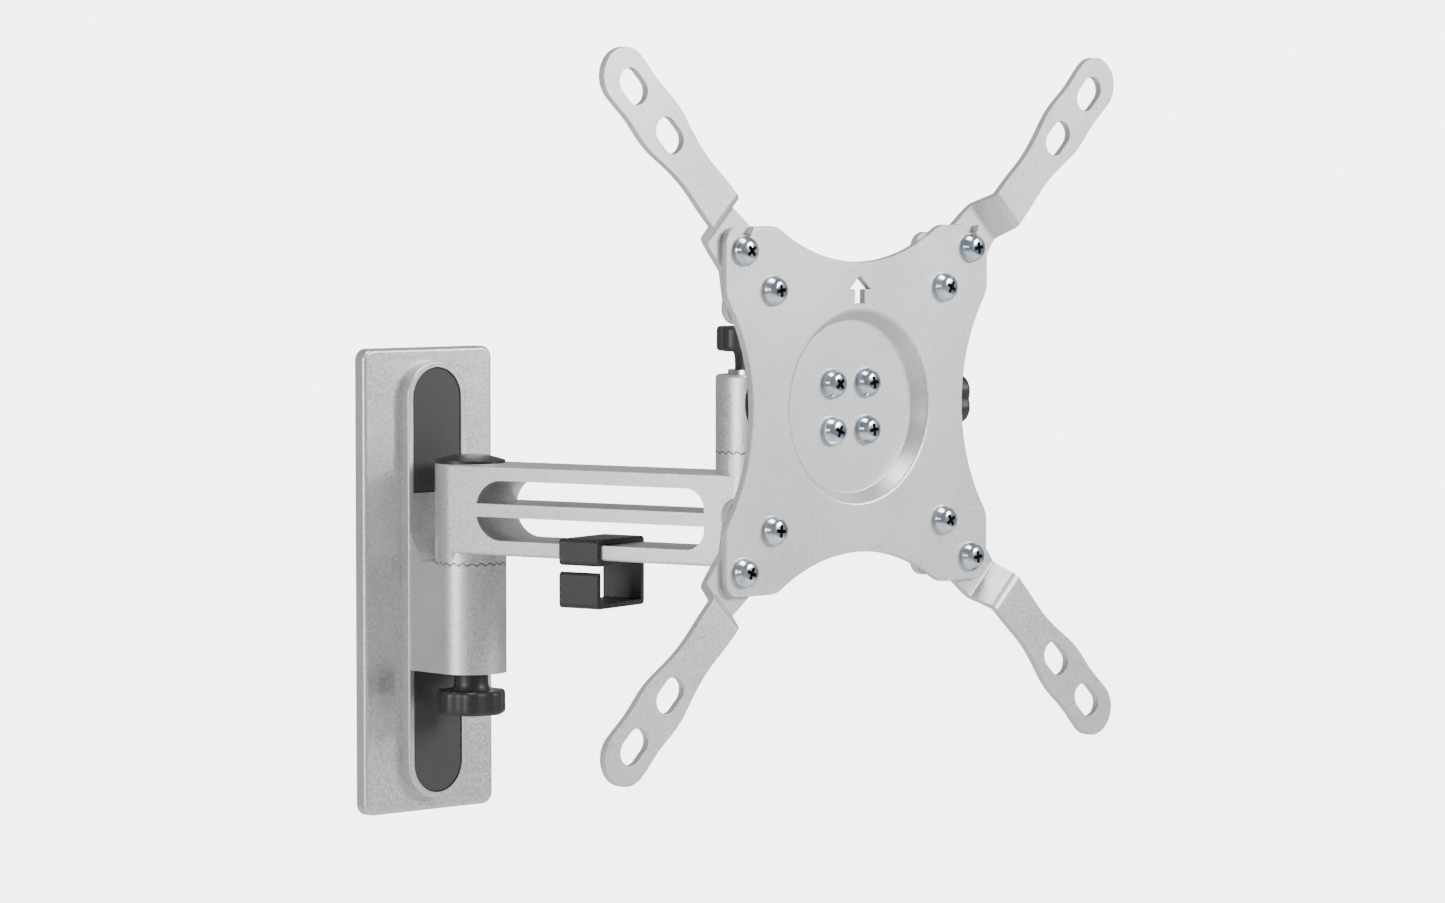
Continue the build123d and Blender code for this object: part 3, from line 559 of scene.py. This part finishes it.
ring_tree = make_ring_tree()
ROOT_GAP = 0.00015                           # the seam's gap, less the depth of a tooth
for label, joint, node, body in (("arm_tooth_ring", "arm_swing", "swing_arm", "arm"),
                                 ("head_tooth_ring", "head_swivel", "head_knuckle", "head")):
    x, y, _ = joints[joint]["pos_m"]
    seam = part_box(node)[0].z - ROOT_GAP
    grow(label, points_mesh(label, [(x, y, seam)]), ring_tree, {"Paint": cast_silver}, body)
    print(label, "seam at", round(seam, 5))

# %% [markdown]
# ## Studio
# A pale floor well below the mount and an even pale surround give the plain setting. The key light
# stands in front on the right, so the right wall of the dish is its darker one. A side light
# stands level with the arm, mostly behind the line of the screen plate, and brightens the arm and
# the barrels while it hardly touches the plate. A top light edges the upper faces, and a weak fill
# stands front left.

# %% Floor and surround
FLOOR_SEEN, SKY_SEEN = 4.8, 5.5              # how bright the camera sees them
SKY_LIGHT = 0.42                             # how much the surround lights the mount
floor_mesh = bpy.data.meshes.new("floor")
floor_mesh.from_pydata([(-8, -8, -0.6), (8, -8, -0.6), (8, 8, -0.6), (-8, 8, -0.6)], [],
                       [(0, 1, 2, 3)])
floor = bpy.data.objects.new("floor", floor_mesh)
bpy.context.collection.objects.link(floor)
pale_floor = coated("pale_floor", (0.86, 0.86, 0.86), (0.9, 0.9, 0.9), Grain=40.0,
                    Gloss_low=0.8, Gloss_high=0.9, Height=0.0)
floor_mesh.materials.append(pale_floor)
glow = pale_floor.node_tree
pale = glow.nodes["Principled BSDF"]
pale.inputs["Emission Color"].default_value = (1, 1, 1, 1)
ray = glow.nodes.new("ShaderNodeLightPath")
lift = new_node(glow, "ShaderNodeMath", operation="MULTIPLY")
lift.inputs[1].default_value = FLOOR_SEEN
glow.links.new(ray.outputs["Is Camera Ray"], lift.inputs[0])
glow.links.new(lift.outputs[0], pale.inputs["Emission Strength"])

world = bpy.data.worlds.new("surround")
bpy.context.scene.world = world
world.use_nodes = True
sky = world.node_tree
plain = sky.nodes["Background"]
plain.inputs["Color"].default_value = (1, 1, 1, 1)
plain.inputs["Strength"].default_value = SKY_LIGHT
seen = new_node(sky, "ShaderNodeBackground", Color=(1, 1, 1, 1), Strength=SKY_SEEN)
ray = sky.nodes.new("ShaderNodeLightPath")
choice = sky.nodes.new("ShaderNodeMixShader")
sky.links.new(ray.outputs["Is Camera Ray"], choice.inputs[0])
sky.links.new(plain.outputs[0], choice.inputs[1])
sky.links.new(seen.outputs[0], choice.inputs[2])
sky.links.new(choice.outputs[0], sky.nodes["World Output"].inputs["Surface"])

# %% Lights
target = Vector((0.03, -0.12, 0.04))


def soft_light(name, place, power, width):
    """A square lamp aimed at the mount."""
    lamp = bpy.data.lights.new(name, "AREA")
    lamp.energy, lamp.size = power, width
    holder = bpy.data.objects.new(name, lamp)
    holder.location = place
    holder.rotation_mode = "QUATERNION"
    holder.rotation_quaternion = (target - Vector(place)).to_track_quat("-Z", "Y")
    bpy.context.collection.objects.link(holder)


soft_light("key", (1.0, -1.7, 0.75), 43, 0.8)
soft_light("top", (-0.3, -0.4, 1.6), 20, 0.7)
soft_light("side", (-1.8, -0.02, 0.25), 19, 0.6)
soft_light("fill", (-1.9, -0.9, 0.35), 2.5, 0.35)

# %% Camera
yaw, dip = radians(42.6), radians(3.2)
camera_data = bpy.data.cameras.new("camera")
camera_data.lens, camera_data.sensor_width = 121.95, 36.0
camera_data.clip_end = 50
camera = bpy.data.objects.new("camera", camera_data)
camera.location = (-1.0518, -1.2962, 0.1365)
camera.rotation_mode = "QUATERNION"
camera.rotation_quaternion = Vector((sin(yaw) * cos(dip), cos(yaw) * cos(dip), -sin(dip))
                                    ).to_track_quat("-Z", "Y")
bpy.context.collection.objects.link(camera)
bpy.context.scene.camera = camera
